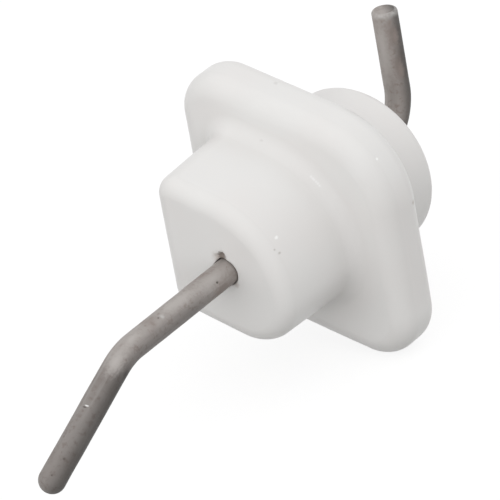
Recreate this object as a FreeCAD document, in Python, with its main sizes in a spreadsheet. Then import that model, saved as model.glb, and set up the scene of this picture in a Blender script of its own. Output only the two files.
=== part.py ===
import FreeCAD, Part
import math
import os
import Sketcher

# Ignition electrode for a gas or oil burner.
#
# A bent heating-conductor rod runs through a glazed ceramic insulator and is potted into it from
# behind with refractory cement. The frame: the rod's straight run lies along Y, the hot tip points
# to -Y and the terminal leg stands up along +Z. The origin is on the rod's axis, in the plane of
# the flange's front face, which seats on the burner door.
#
# Seen from the front (X to the right, Z up), flange and boss are rhombi with rounded corners. Two
# sides of each stand upright and two slope down to the right, so the sharp corners, the lobes, lie
# top left and bottom right, and the blunt corners lie top right and bottom left.

SIZES = [
    # alias, value, what it is: millimetres, or degrees where the note says so
    ("rod_diameter", 3.0, "heating-conductor wire"),
    ("front_run", 16.7, "straight rod from the boss face to the front bend"),
    ("front_bend_radius", 7.3, "front bend, on the rod's centre line"),
    ("front_bend_angle", 26.3, "degrees that the hot end turns down"),
    ("tip_run", 15.9, "straight rod from the front bend to the tip"),
    ("tip_flat", 0.1, "radius of the flat left on the domed tip"),
    ("rear_run", 2.7, "straight rod from the collar face to the rear bend"),
    ("rear_bend_radius", 5.5, "right-angle rear bend, on the rod's centre line"),
    ("terminal_run", 9.6, "straight terminal leg above the rear bend"),
    ("terminal_chamfer", 0.4, "chamfer round the sheared terminal end"),
    ("ear_span", 4.6, "across the two ears staked out of the rod"),
    ("ear_gauge", 1.6, "height of the ears"),
    ("ear_length", 2.2, "ears, along the rod"),
    ("side_slope", 14.4, "degrees that the flange's sloping sides lie off level"),
    ("flange_across", 27.1, "flange, between opposite sides"),
    ("flange_thickness", 6.8, "flange, front face to rear face"),
    ("lobe_radius", 5.1, "flange corners, top left and bottom right"),
    ("flank_radius", 10.9, "flange corners, top right and bottom left"),
    ("flange_round", 2.5, "rounding of the flange's front and rear rims"),
    ("boss_slope", 16.4, "degrees that the boss's sloping sides lie off level"),
    ("boss_left", 8.8, "rod axis to the boss's left side, at its root"),
    ("boss_right", 8.2, "rod axis to the boss's right side, at its root"),
    ("boss_rise", 8.4, "rod axis to each sloping side of the boss, at its root"),
    ("boss_depth", 12.2, "flange face to boss face"),
    ("boss_draft", 2.2, "degrees of mould draft on the boss"),
    ("key_radius", 2.6, "boss corner, top left"),
    ("toe_radius", 6.1, "boss corner, bottom right"),
    ("shoulder_radius", 12.2, "boss corner, top right"),
    ("heel_radius", 3.5, "boss corner, bottom left"),
    ("boss_round", 2.0, "rounding of the boss's front rim"),
    ("boss_root_round", 1.5, "soft crease between boss and flange"),
    ("land", 0.1, "least flat left beside a rounding that its wall limits"),
    ("collar_diameter", 19.4, "round collar behind the flange"),
    ("collar_length", 7.4, "collar, behind the flange's rear face"),
    ("collar_round", 1.0, "rounding of the collar's rear rim"),
    ("collar_root_round", 0.5, "soft crease between collar and flange"),
    ("bore_gap", 0.25, "clearance all round between rod and bore"),
    ("bore_round", 0.35, "softened mouth where the rod leaves the boss"),
    ("well_diameter", 8.0, "potting well in the collar"),
    ("well_depth", 6.0, "potting well, from the collar face"),
    ("well_round", 0.3, "softened mouth of the potting well"),
    ("sleeve_length", 5.0, "how far the cement runs down the bore"),
    ("cement_recess", 0.3, "cement face below the collar face"),
    ("cement_rise", 0.7, "cement drawn up round the rod"),
]

# Lengths along the rod that several sub-parts share, measured behind the flange's front face.
COLLAR_FACE = "(Sizes.flange_thickness + Sizes.collar_length)"
WELL_FLOOR = f"({COLLAR_FACE} - Sizes.well_depth)"
CEMENT_FACE = f"({COLLAR_FACE} - Sizes.cement_recess)"
BORE_DIAMETER = "(Sizes.rod_diameter + 2 * Sizes.bore_gap)"

# Roundings that stop at their wall: the flange's rims end before boss and collar begin, the boss's
# rim is smaller than its sharpest corner, and the shoulder ends where the toe begins.
FLANGE_ROUND = ("min(Sizes.flange_round; Sizes.flange_across / 2 - Sizes.land"
                " - max(Sizes.collar_diameter / 2 + Sizes.collar_root_round;"
                " Sizes.boss_left + Sizes.boss_root_round))")
BOSS_ROUND = ("min(Sizes.boss_round;"
              " Sizes.key_radius - Sizes.boss_depth * tan(Sizes.boss_draft) - Sizes.land)")
SHOULDER_RADIUS = ("min(Sizes.shoulder_radius; (2 * Sizes.boss_rise / cos(Sizes.boss_slope) - Sizes.land"
                   " - Sizes.toe_radius * tan(45 + Sizes.boss_slope / 2))"
                   " / tan(45 - Sizes.boss_slope / 2))")

TOLERANCE = 1e-4


def make_sheet(doc):
    """The spreadsheet that drives every feature: a name, a value and a note in each row."""
    sheet = doc.addObject("Spreadsheet::Sheet", "Sizes")
    for row, (alias, value, note) in enumerate(SIZES, start=1):
        sheet.set(f"A{row}", alias)
        sheet.set(f"B{row}", str(value))
        sheet.set(f"C{row}", note)
        sheet.setAlias(f"B{row}", alias)
    doc.recompute()


def new_body(doc, name):
    """An empty PartDesign body whose label names the sub-part."""
    body = doc.addObject("PartDesign::Body", name)
    body.Label = name
    body.Placement = FreeCAD.Placement()
    return body


def new_sketch(body, name, role, behind=None):
    """A sketch on one of the body's own planes, or that far behind the XZ plane, towards +Y."""
    plane = next(feature for feature in body.Origin.OriginFeatures if feature.Role == role)
    sketch = body.newObject("Sketcher::SketchObject", name)
    sketch.AttachmentSupport = (plane, "")
    sketch.MapMode = "FlatFace"
    if behind:
        sketch.setExpression("AttachmentOffset.Base.z", f"-{behind}")
    return sketch


def drive(sketch, name, expression, *what):
    """A named driving constraint, bound to an expression of the sheet's sizes."""
    value = float(sketch.evalExpression(expression))
    if what[0] == "Angle":
        value = math.radians(value)
    index = sketch.addConstraint(Sketcher.Constraint(*what, value))
    sketch.renameConstraint(index, name)
    sketch.setExpression(f"Constraints.{name}", expression)


def circle_sketch(body, name, diameter, behind=None):
    """A circle about the rod's axis."""
    sketch = new_sketch(body, name, "XZ_Plane", behind)
    radius = float(sketch.evalExpression(diameter)) / 2
    sketch.addGeometry(Part.Circle(FreeCAD.Vector(0, 0, 0), FreeCAD.Vector(0, 0, 1), radius))
    sketch.addConstraint(Sketcher.Constraint("Coincident", 0, 3, -1, 1))
    drive(sketch, "diameter", diameter, "Diameter", 0)
    return sketch


def rounded_corner(start, end, first, second, radius):
    """The arc of a radius that is tangent to two sides, which face the angles start and end and
    lie the distances first and second from the rod's axis."""
    turn = math.sin(end - start)
    x = ((first - radius) * math.sin(end) - (second - radius) * math.sin(start)) / turn
    z = ((second - radius) * math.cos(start) - (first - radius) * math.cos(end)) / turn
    circle = Part.Circle(FreeCAD.Vector(x, z, 0), FreeCAD.Vector(0, 0, 1), radius)
    return Part.ArcOfCircle(circle, start, end)


def rhombus_sketch(body, name, side_slope, sides, radii):
    """A rhombus with rounded corners about the rod's axis.

    side_slope is how far the sloping sides lie off level. sides holds an expression for each side's
    distance from the axis, anticlockwise from the right one, and radii one for each corner,
    anticlockwise from the top right one.
    """
    sketch = new_sketch(body, name, "XZ_Plane")
    slope = math.radians(float(sketch.evalExpression(side_slope)))
    facing = [0, math.pi / 2 - slope, math.pi, 3 * math.pi / 2 - slope, 2 * math.pi]
    reach = [float(sketch.evalExpression(side)) for side in sides + sides[:1]]
    arcs = []
    for corner, expression in enumerate(radii):
        radius = float(sketch.evalExpression(expression))
        arcs.append(rounded_corner(*facing[corner:corner + 2], *reach[corner:corner + 2], radius))
    for arc, following in zip(arcs, arcs[1:] + arcs[:1]):
        sketch.addGeometry(arc)
        sketch.addGeometry(Part.LineSegment(arc.EndPoint, following.StartPoint))
    for corner, expression in enumerate(radii):
        arc = 2 * corner
        side = arc + 1
        sketch.addConstraint(Sketcher.Constraint("Tangent", arc, 2, side, 1))
        sketch.addConstraint(Sketcher.Constraint("Tangent", side, 2, (arc + 2) % 8, 1))
        drive(sketch, f"corner{corner}", expression, "Radius", arc)
        drive(sketch, f"reach{corner}", sides[(corner + 1) % 4], "Distance", -1, 1, side)
    top, left, bottom, right = 1, 3, 5, 7
    sketch.addConstraint(Sketcher.Constraint("Vertical", left))
    sketch.addConstraint(Sketcher.Constraint("Vertical", right))
    sketch.addConstraint(Sketcher.Constraint("Parallel", top, bottom))
    drive(sketch, "slope", f"180 - {side_slope}", "Angle", top)
    return sketch


def add_pad(body, name, sketch, length, rearward=True, taper=None):
    """A sketch pushed out along the rod's axis."""
    pad = body.newObject("PartDesign::Pad", name)
    pad.Profile = sketch
    pad.Reversed = rearward
    pad.setExpression("Length", length)
    if taper:
        pad.setExpression("TaperAngle", taper)
    return pad


def add_pocket(body, name, sketch, length, rearward):
    """A sketch cut along the rod's axis, which has to take something away."""
    before = body.Tip
    pocket = body.newObject("PartDesign::Pocket", name)
    pocket.Profile = sketch
    pocket.Reversed = not rearward
    pocket.setExpression("Length", length)
    body.Document.recompute()
    if pocket.Shape.Volume > before.Shape.Volume - TOLERANCE:
        raise RuntimeError(f"{name} cuts nothing")
    return pocket


def edges_where(shape, wanted):
    """Names of the edges whose points all pass a test."""
    names = []
    for number, edge in enumerate(shape.Edges, start=1):
        points = edge.discretize(5)
        if all(wanted(point) for point in points):
            names.append(f"Edge{number}")
    return names


def dress(body, kind, name, wanted, size):
    """A fillet or a chamfer on the edges of the body so far that pass a test."""
    body.Document.recompute()
    base = body.Tip
    edges = edges_where(base.Shape, wanted)
    if not edges:
        raise RuntimeError(f"{name} finds no edge")
    feature = body.newObject(f"PartDesign::{kind}", name)
    feature.Base = (base, edges)
    feature.setExpression("Radius" if kind == "Fillet" else "Size", size)
    return feature


def near(a, b):
    return abs(a - b) < TOLERANCE


def off_axis(point):
    """Distance from the rod's axis."""
    return math.hypot(point.x, point.z)


def make_insulator(doc):
    """The fired ceramic: keyed boss in front, clamping flange, round collar behind, and the bore."""
    body = new_body(doc, "ceramic_insulator")
    size = body.evalExpression
    front = -float(size("Sizes.boss_depth"))
    flange_rear = float(size("Sizes.flange_thickness"))
    collar_face = float(size(COLLAR_FACE))
    bore_radius = float(size(BORE_DIAMETER)) / 2
    well_radius = float(size("Sizes.well_diameter")) / 2
    collar_radius = float(size("Sizes.collar_diameter")) / 2

    flange = rhombus_sketch(body, "flange_outline", "Sizes.side_slope", ["Sizes.flange_across / 2"] * 4,
                            ["Sizes.flank_radius", "Sizes.lobe_radius"] * 2)
    add_pad(body, "flange", flange, "Sizes.flange_thickness")
    dress(body, "Fillet", "flange_rims",
          lambda p: near(p.y, 0) or near(p.y, flange_rear), FLANGE_ROUND)

    boss = rhombus_sketch(body, "boss_outline", "Sizes.boss_slope",
                          ["Sizes.boss_right", "Sizes.boss_rise", "Sizes.boss_left", "Sizes.boss_rise"],
                          [SHOULDER_RADIUS, "Sizes.key_radius", "Sizes.heel_radius", "Sizes.toe_radius"])
    add_pad(body, "boss", boss, "Sizes.boss_depth", rearward=False, taper="-Sizes.boss_draft")
    dress(body, "Fillet", "boss_rim", lambda p: near(p.y, front), BOSS_ROUND)
    dress(body, "Fillet", "boss_root",
          lambda p: boss.Shape.distToShape(Part.Vertex(p))[0] < TOLERANCE, "Sizes.boss_root_round")

    collar = circle_sketch(body, "collar_outline", "Sizes.collar_diameter",
                           behind="(Sizes.flange_thickness / 2)")
    add_pad(body, "collar", collar, "Sizes.flange_thickness / 2 + Sizes.collar_length")
    dress(body, "Fillet", "collar_rim", lambda p: near(p.y, collar_face), "Sizes.collar_round")
    dress(body, "Fillet", "collar_root",
          lambda p: near(p.y, flange_rear) and near(off_axis(p), collar_radius),
          "Sizes.collar_root_round")

    well = circle_sketch(body, "well_outline", "Sizes.well_diameter", behind=COLLAR_FACE)
    add_pocket(body, "well", well, "Sizes.well_depth", rearward=False)
    bore = circle_sketch(body, "bore_outline", BORE_DIAMETER, behind=WELL_FLOOR)
    add_pocket(body, "bore", bore, f"{WELL_FLOOR} + Sizes.boss_depth", rearward=False)
    dress(body, "Fillet", "bore_mouth",
          lambda p: near(p.y, front) and near(off_axis(p), bore_radius), "Sizes.bore_round")
    dress(body, "Fillet", "well_mouth",
          lambda p: near(p.y, collar_face) and near(off_axis(p), well_radius), "Sizes.well_round")
    return body


def bent_path(body, name, heading, first_run, radius, turn, last_run):
    """A straight from the origin along the rod's axis, a bend to the left and a second straight.

    The sketch lies on the YZ plane, with +Y to its right and +Z up. heading is 0 for a path that
    sets out to the rear and 180 for one that sets out to the front.
    """
    sketch = new_sketch(body, name, "YZ_Plane")
    run, bend, angle, last = (float(sketch.evalExpression(e)) for e in (first_run, radius, turn, last_run))
    start = math.radians(heading)
    end = start + math.radians(angle)
    ahead = FreeCAD.Vector(math.cos(start), math.sin(start), 0)
    left = FreeCAD.Vector(-math.sin(start), math.cos(start), 0)
    quarter = math.pi / 2
    circle = Part.Circle(ahead * run + left * bend, FreeCAD.Vector(0, 0, 1), bend)
    arc = Part.ArcOfCircle(circle, start - quarter, end - quarter)
    tip = arc.EndPoint + FreeCAD.Vector(math.cos(end), math.sin(end), 0) * last
    sketch.addGeometry(Part.LineSegment(FreeCAD.Vector(0, 0, 0), arc.StartPoint))
    sketch.addGeometry(arc)
    sketch.addGeometry(Part.LineSegment(arc.EndPoint, tip))
    sketch.addConstraint(Sketcher.Constraint("Coincident", 0, 1, -1, 1))
    sketch.addConstraint(Sketcher.Constraint("Horizontal", 0))
    sketch.addConstraint(Sketcher.Constraint("Tangent", 0, 2, 1, 1))
    sketch.addConstraint(Sketcher.Constraint("Tangent", 1, 2, 2, 1))
    drive(sketch, "first_run", first_run, "Distance", 0)
    drive(sketch, "bend", radius, "Radius", 1)
    drive(sketch, "turn", turn, "Angle", 1)
    drive(sketch, "last_run", last_run, "Distance", 2)
    return sketch


def add_pipe(body, name, section, path):
    """The rod's round section swept along a bent path."""
    pipe = body.newObject("PartDesign::AdditivePipe", name)
    pipe.Profile = section
    pipe.Spine = (path, ["Edge1", "Edge2", "Edge3"])
    return pipe


def ear_sketch(body):
    """The ears' cross-section, a bar through the rod at the floor of the potting well."""
    sketch = new_sketch(body, "ear_section", "XZ_Plane", behind=WELL_FLOOR)
    span = float(sketch.evalExpression("Sizes.ear_span")) / 2
    gauge = float(sketch.evalExpression("Sizes.ear_gauge")) / 2
    corners = [(-span, -gauge), (span, -gauge), (span, gauge), (-span, gauge)]
    points = [FreeCAD.Vector(x, z, 0) for x, z in corners]
    for begin, end in zip(points, points[1:] + points[:1]):
        sketch.addGeometry(Part.LineSegment(begin, end))
    for side in range(4):
        sketch.addConstraint(Sketcher.Constraint("Coincident", side, 2, (side + 1) % 4, 1))
        sketch.addConstraint(Sketcher.Constraint("Vertical" if side % 2 else "Horizontal", side))
    sketch.addConstraint(Sketcher.Constraint("Symmetric", 0, 1, 2, 1, -1, 1))
    drive(sketch, "span", "Sizes.ear_span", "Distance", 0)
    drive(sketch, "gauge", "Sizes.ear_gauge", "Distance", 1)
    return sketch


def make_rod(doc):
    """The electrode itself: hot end, straight run with two staked ears, and terminal leg."""
    body = new_body(doc, "electrode_rod")
    size = body.evalExpression
    rod_radius = float(size("Sizes.rod_diameter")) / 2
    leg = float(size(f"{COLLAR_FACE} + Sizes.rear_run + Sizes.rear_bend_radius"))
    terminal_end = float(size("Sizes.rear_bend_radius + Sizes.terminal_run"))

    section = circle_sketch(body, "rod_section", "Sizes.rod_diameter")
    rear = bent_path(body, "rear_path", 0, f"{COLLAR_FACE} + Sizes.rear_run",
                     "Sizes.rear_bend_radius", "90", "Sizes.terminal_run")
    add_pipe(body, "rear_half", section, rear)
    front = bent_path(body, "front_path", 180, "Sizes.boss_depth + Sizes.front_run",
                      "Sizes.front_bend_radius", "Sizes.front_bend_angle", "Sizes.tip_run")
    add_pipe(body, "front_half", section, front)
    add_pad(body, "ears", ear_sketch(body), "Sizes.ear_length")

    tip = front.getPoint(2, 2)
    dress(body, "Fillet", "tip_dome",
          lambda p: math.dist((p.x, p.y, p.z), (0, tip.x, tip.y)) < rod_radius + TOLERANCE,
          "Sizes.rod_diameter / 2 - Sizes.tip_flat")
    dress(body, "Chamfer", "terminal_edge",
          lambda p: near(p.z, terminal_end) and abs(p.y - leg) < rod_radius + TOLERANCE,
          "Sizes.terminal_chamfer")
    return body


def cement_section(body):
    """Half of the cement's section on the YZ plane: sleeve, well filling and the rise at the rod."""
    sketch = new_sketch(body, "cement_section", "YZ_Plane")
    rod, bore, well = "Sizes.rod_diameter / 2", f"{BORE_DIAMETER} / 2", "Sizes.well_diameter / 2"
    sleeve_end = f"{WELL_FLOOR} - Sizes.sleeve_length"
    corners = [
        (sleeve_end, rod),
        (f"{CEMENT_FACE} + Sizes.cement_rise", rod),
        (CEMENT_FACE, f"{rod} + Sizes.cement_rise"),
        (CEMENT_FACE, well),
        (WELL_FLOOR, well),
        (WELL_FLOOR, bore),
        (sleeve_end, bore),
    ]
    size = sketch.evalExpression
    points = [FreeCAD.Vector(float(size(along)), float(size(out)), 0) for along, out in corners]
    for begin, end in zip(points, points[1:] + points[:1]):
        sketch.addGeometry(Part.LineSegment(begin, end))
    for side, (along, out) in enumerate(corners):
        sketch.addConstraint(Sketcher.Constraint("Coincident", side, 2, (side + 1) % len(corners), 1))
        drive(sketch, f"along{side}", along, "DistanceX", -1, 1, side, 1)
        drive(sketch, f"out{side}", out, "DistanceY", -1, 1, side, 1)
    return sketch


def make_cement(doc):
    """The refractory cement that fills the well, grips the ears and seals the bore behind the rod."""
    body = new_body(doc, "potting_cement")
    turned = body.newObject("PartDesign::Revolution", "cement_turned")
    turned.Profile = cement_section(body)
    turned.ReferenceAxis = (turned.Profile[0], ["H_Axis"])
    turned.Angle = 360
    doc.recompute()
    add_pocket(body, "ear_slot", ear_sketch(body), "Sizes.ear_length", rearward=True)
    return body


def check_and_write(doc, bodies):
    """Stops on any failed feature or bad shape, and only then writes a STEP file for each sub-part."""
    doc.recompute()
    for item in doc.Objects:
        if "Invalid" in item.State or "Error" in item.State:
            raise RuntimeError(f"{item.Name}: {item.State}")
    for body in bodies:
        if body.Shape.isNull() or not body.Shape.isValid():
            raise RuntimeError(f"{body.Label} has no valid shape")
        if len(body.Shape.Solids) != 1:
            raise RuntimeError(f"{body.Label} is not one solid")
    os.makedirs("parts", exist_ok=True)
    for body in bodies:
        body.Shape.exportStep(f"parts/{body.Label}.step")
        box = body.Shape.BoundBox
        print(f"{body.Label}: {body.Shape.Volume:.2f} mm3, X {box.XMin:.2f}..{box.XMax:.2f}, "
              f"Y {box.YMin:.2f}..{box.YMax:.2f}, Z {box.ZMin:.2f}..{box.ZMax:.2f}")


document = FreeCAD.newDocument("ignition_electrode")
make_sheet(document)
check_and_write(document, [make_insulator(document), make_rod(document), make_cement(document)])
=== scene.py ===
import math

import bpy
import numpy as np
from mathutils import Matrix, Vector


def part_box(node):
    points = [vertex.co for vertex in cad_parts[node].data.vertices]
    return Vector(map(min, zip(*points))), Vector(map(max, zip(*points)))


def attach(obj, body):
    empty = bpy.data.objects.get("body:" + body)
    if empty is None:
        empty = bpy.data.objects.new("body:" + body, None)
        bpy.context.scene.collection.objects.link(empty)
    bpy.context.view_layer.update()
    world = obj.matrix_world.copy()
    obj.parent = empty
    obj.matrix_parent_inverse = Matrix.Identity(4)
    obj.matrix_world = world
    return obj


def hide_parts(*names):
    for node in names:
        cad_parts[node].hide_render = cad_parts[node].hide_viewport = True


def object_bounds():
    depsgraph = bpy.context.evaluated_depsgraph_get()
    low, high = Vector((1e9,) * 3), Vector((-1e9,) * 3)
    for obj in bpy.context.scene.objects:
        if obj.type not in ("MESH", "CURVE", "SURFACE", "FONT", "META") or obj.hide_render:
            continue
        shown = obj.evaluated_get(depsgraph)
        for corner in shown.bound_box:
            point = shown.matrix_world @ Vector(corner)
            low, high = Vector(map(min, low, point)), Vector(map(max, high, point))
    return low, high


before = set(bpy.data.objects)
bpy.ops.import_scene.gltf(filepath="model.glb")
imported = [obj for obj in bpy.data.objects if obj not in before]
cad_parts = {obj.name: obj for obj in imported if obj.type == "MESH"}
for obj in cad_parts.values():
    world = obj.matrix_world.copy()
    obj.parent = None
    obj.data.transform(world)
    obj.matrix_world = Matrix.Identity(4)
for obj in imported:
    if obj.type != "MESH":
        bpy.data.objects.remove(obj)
cad_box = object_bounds()
print("Packed nodes:", sorted(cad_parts))

# %% [markdown]
# # An ignition electrode
#
# The real object is a spark electrode for a burner. A bent wire of heat-proof alloy runs through a
# glazed ceramic insulator, and white cement holds it there. This lesson makes each of those pieces
# as a smooth surface worked out with numpy, and gives each its own finish made from nodes.
#
# The frame: the straight run of the wire lies along Y, the hot tip points to -Y and the terminal
# leg stands up along +Z. The origin is on the wire's axis, in the plane of the flange's front face.

# %% Units and shared numbers
MM = 0.001
TAU = 2 * math.pi
QUARTER = math.pi / 2

ceramic_low, ceramic_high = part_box("ceramic_insulator")
print("Insulator, mm:", [round((high - low) / MM, 2) for low, high in zip(ceramic_low, ceramic_high)])

# %% [markdown]
# ## The camera
#
# A long lens far away flattens the perspective, as product pictures do. The camera is placed by the
# direction it looks from, turned a little about its own line of sight, and aimed just beside the
# origin, so that both ends of the wire fit the square frame.

# %% Camera
VIEW_AZIMUTH = math.radians(40.36)
VIEW_ELEVATION = math.radians(27.16)
VIEW_ROLL = math.radians(-10.37)
VIEW_DISTANCE = 525.6 * MM
AIM_RIGHT, AIM_UP = -4.42 * MM, -3.21 * MM
LENS, SENSOR = 344.8, 36.0


def look_from(azimuth, elevation, roll):
    """Unit vectors to the camera, to its right and up, for a direction seen from the origin.

    The direction to the camera is a point on the unit sphere; right and up are its two level
    directions, turned about it by the roll.
    """
    back = Vector((math.sin(azimuth) * math.cos(elevation), -math.cos(azimuth) * math.cos(elevation),
                   math.sin(elevation)))
    right = Vector((math.cos(azimuth), math.sin(azimuth), 0.0))
    up = back.cross(right)
    return (back, right * math.cos(roll) + up * math.sin(roll),
            up * math.cos(roll) - right * math.sin(roll))


def make_camera():
    """Puts the camera on its sphere and points it at the aim, keeping the rolled up direction."""
    back, right, up = look_from(VIEW_AZIMUTH, VIEW_ELEVATION, VIEW_ROLL)
    place = back * VIEW_DISTANCE
    sight = (place - (right * AIM_RIGHT + up * AIM_UP)).normalized()
    across = up.cross(sight).normalized()
    turn = Matrix((across, sight.cross(across), sight)).transposed().to_4x4()
    lens = bpy.data.cameras.new("camera")
    lens.lens, lens.sensor_width = LENS, SENSOR
    lens.clip_start, lens.clip_end = 0.01, 10.0
    camera = bpy.data.objects.new("camera", lens)
    camera.matrix_world = Matrix.Translation(place) @ turn
    bpy.context.scene.collection.objects.link(camera)
    bpy.context.scene.camera = camera
    return camera


camera = make_camera()
print("Camera at, mm:", [round(value / MM, 1) for value in camera.location])

# %% [markdown]
# ## Building node trees
#
# Every finish below is a tree of nodes. One small helper adds a node and fills its sockets: a number
# or a colour is written on the socket, and another node's output is linked to it.


# %% Helper for node trees
def put(tree, kind, settings=None, **sockets):
    """Adds a node of a kind to a tree, sets its properties and fills or links its input sockets.

    A socket is named with _ for a space, or by its number after a _ where names repeat.
    """
    node = tree.nodes.new(kind)
    for name, value in (settings or {}).items():
        setattr(node, name, value)
    for name, value in sockets.items():
        key = int(name[1:]) if name[0] == "_" else name.replace("_", " ")
        if isinstance(value, bpy.types.NodeSocket):
            tree.links.new(value, node.inputs[key])
        else:
            node.inputs[key].default_value = value
    return node


def sum_of(tree, first, second, clamp=False):
    """Adds two values in a tree."""
    node = put(tree, "ShaderNodeMath", {"operation": "ADD", "use_clamp": clamp}, _0=first, _1=second)
    return node.outputs[0]


def product_of(tree, first, second):
    """Multiplies two values in a tree."""
    return put(tree, "ShaderNodeMath", {"operation": "MULTIPLY"}, _0=first, _1=second).outputs[0]


def blend_colour(tree, mask, first, second):
    """Mixes two colours by a mask: the first where it is 0, the second where it is 1."""
    mix = put(tree, "ShaderNodeMix", {"data_type": "RGBA"}, _0=mask, _6=first, _7=second)
    return mix.outputs[2]


def new_material(name):
    """An empty node material; returns it with its tree and its output node."""
    material = bpy.data.materials.new(name)
    material.use_nodes = True
    material.node_tree.nodes.clear()
    return material, material.node_tree, put(material.node_tree, "ShaderNodeOutputMaterial")


# %% [markdown]
# ## Floor and light
#
# White ceramic on white needs very even light, or its edges burn out. So no lamp stands near: the
# part is lit like in a tent of white cloth, by a world that glows evenly all round and more from the
# front, the rear, above and the upper right. What the camera, a reflection or a see-through
# surface meets is plain white, while the light that falls on the part stays at the level at which a
# colour renders as it is written.
#
# The floor is part paint and part its own light for the camera: it looks white, and the part's
# shadow still shows on it, faintly.

# %% World and floor
TENT_EVEN = 0.272
TENT_SIDES = [
    # direction from which more light comes, and how much more
    ((0, 0, 1), 0.355),
    ((0, -1, 0), 1.26),
    ((0, 1, 0), 0.58),
    ((0.707, 0, 0.707), 0.49),
]
TENT_FALLOFF = 1.5
FLOOR_PALE = (0.372, 0.368, 0.360, 1)
FLOOR_SHOWN = (0.18, 0.18, 0.18, 1)
FLOOR_GLOW = (0.86, 0.86, 0.86, 1)
FLOOR_SIDE = 3.0


def seen_directly(tree):
    """1 where a ray comes from the camera, a reflection or a see-through surface, else 0."""
    path = put(tree, "ShaderNodeLightPath").outputs
    both = sum_of(tree, path["Is Camera Ray"], path["Is Glossy Ray"])
    return sum_of(tree, both, path["Is Transmission Ray"], clamp=True)


def tent_level(tree):
    """The even level plus, for each side, its amount times (direction . side) to the falloff."""
    direction = put(tree, "ShaderNodeTexCoord").outputs["Generated"]
    level = TENT_EVEN
    for side, amount in TENT_SIDES:
        facing = put(tree, "ShaderNodeVectorMath", {"operation": "DOT_PRODUCT"}, _0=direction, _1=side)
        lit = put(tree, "ShaderNodeMath", {"operation": "MAXIMUM"}, _0=facing.outputs["Value"], _1=0.0)
        soft = put(tree, "ShaderNodeMath", {"operation": "POWER"}, _0=lit.outputs[0], _1=TENT_FALLOFF)
        level = sum_of(tree, product_of(tree, soft.outputs[0], amount), level)
    return level


def make_world():
    """A tent that lights the part softly and is white to look at."""
    world = bpy.data.worlds.new("tent")
    bpy.context.scene.world = world
    world.use_nodes = True
    tree = world.node_tree
    tree.nodes.clear()
    light = put(tree, "ShaderNodeBackground", Color=(1, 1, 1, 1), Strength=tent_level(tree))
    white = put(tree, "ShaderNodeBackground", Color=(1, 1, 1, 1), Strength=1.0)
    mixed = put(tree, "ShaderNodeMixShader", _0=seen_directly(tree), _1=light.outputs[0], _2=white.outputs[0])
    put(tree, "ShaderNodeOutputWorld", Surface=mixed.outputs[0])


def make_floor():
    """A square floor just under the part."""
    side = FLOOR_SIDE / 2
    low = cad_box[0].z
    mesh = bpy.data.meshes.new("floor")
    mesh.from_pydata([(-side, -side, low), (side, -side, low), (side, side, low), (-side, side, low)],
                     [], [(0, 1, 2, 3)])
    floor = bpy.data.objects.new("floor", mesh)
    bpy.context.scene.collection.objects.link(floor)
    material, tree, output = new_material("pale_floor")
    plain = put(tree, "ShaderNodeBsdfDiffuse", Color=FLOOR_PALE)
    shaded = put(tree, "ShaderNodeBsdfDiffuse", Color=FLOOR_SHOWN)
    glow = put(tree, "ShaderNodeEmission", Color=FLOOR_GLOW, Strength=1.0)
    shown = put(tree, "ShaderNodeAddShader", _0=shaded.outputs[0], _1=glow.outputs[0])
    mixed = put(tree, "ShaderNodeMixShader", _0=seen_directly(tree), _1=plain.outputs[0], _2=shown.outputs[0])
    tree.links.new(mixed.outputs[0], output.inputs["Surface"])
    mesh.materials.append(material)


make_world()
make_floor()
bpy.context.scene.view_settings.view_transform = "Standard"
print("Floor at, mm:", round(cad_box[0].z / MM, 2))


# %% [markdown]
# ## From a grid of points to a mesh
#
# Each piece is a surface: a function of two parameters, worked out for a whole grid at once. The
# grid's rows run along the piece's profile or its length, and its columns run round it. Joining each
# point with its neighbours gives four-sided faces. Where a grid closes on itself its last row or
# column joins the first, and where it ends in a point the last ring joins one vertex.

# %% Grid to mesh
def surface_piece(name, grid, loop_rows=True, poles=()):
    """Makes an object from a rows x columns x 3 grid of points in metres, columns closed.

    Faces join point (row, column) with its neighbours in the next row and column. With loop_rows
    the last row joins the first; without it, poles gives the points that close the two ends, each
    with a fan of triangles.
    """
    rows, columns = grid.shape[:2]
    index = np.arange(rows * columns).reshape(rows, columns)
    along = np.roll(index, -1, axis=0)
    first, second = (index, along) if loop_rows else (index[:-1], along[:-1])
    quads = np.stack([first, np.roll(first, -1, axis=1), np.roll(second, -1, axis=1), second], axis=-1)
    faces = quads.reshape(-1, 4).tolist()
    points = grid.reshape(-1, 3)
    if poles:
        points = np.concatenate([points, np.asarray(poles)])
        start, end = len(points) - 2, len(points) - 1
        faces += np.stack([np.full(columns, start), np.roll(index[0], -1), index[0]], axis=-1).tolist()
        faces += np.stack([np.full(columns, end), index[-1], np.roll(index[-1], -1)], axis=-1).tolist()
    mesh = bpy.data.meshes.new(name)
    mesh.from_pydata(points.tolist(), [], faces)
    mesh.polygons.foreach_set("use_smooth", np.ones(len(faces), bool))
    mesh.update()
    piece = bpy.data.objects.new(name, mesh)
    bpy.context.scene.collection.objects.link(piece)
    print(name, "faces:", len(faces), "volume, mm3:", round(enclosed_volume(mesh) / MM ** 3, 1))
    return piece


def enclosed_volume(mesh):
    """Volume inside a closed mesh: one sixth of the sum over triangles of a . (b x c).

    It is positive where the faces point outwards.
    """
    mesh.calc_loop_triangles()
    corners = np.zeros(len(mesh.loop_triangles) * 3, np.int32)
    mesh.loop_triangles.foreach_get("vertices", corners)
    places = np.zeros(len(mesh.vertices) * 3)
    mesh.vertices.foreach_get("co", places)
    a, b, c = places.reshape(-1, 3)[corners.reshape(-1, 3)].transpose(1, 0, 2)
    return float(np.einsum("ij,ij->i", a, np.cross(b, c)).sum() / 6)


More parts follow.
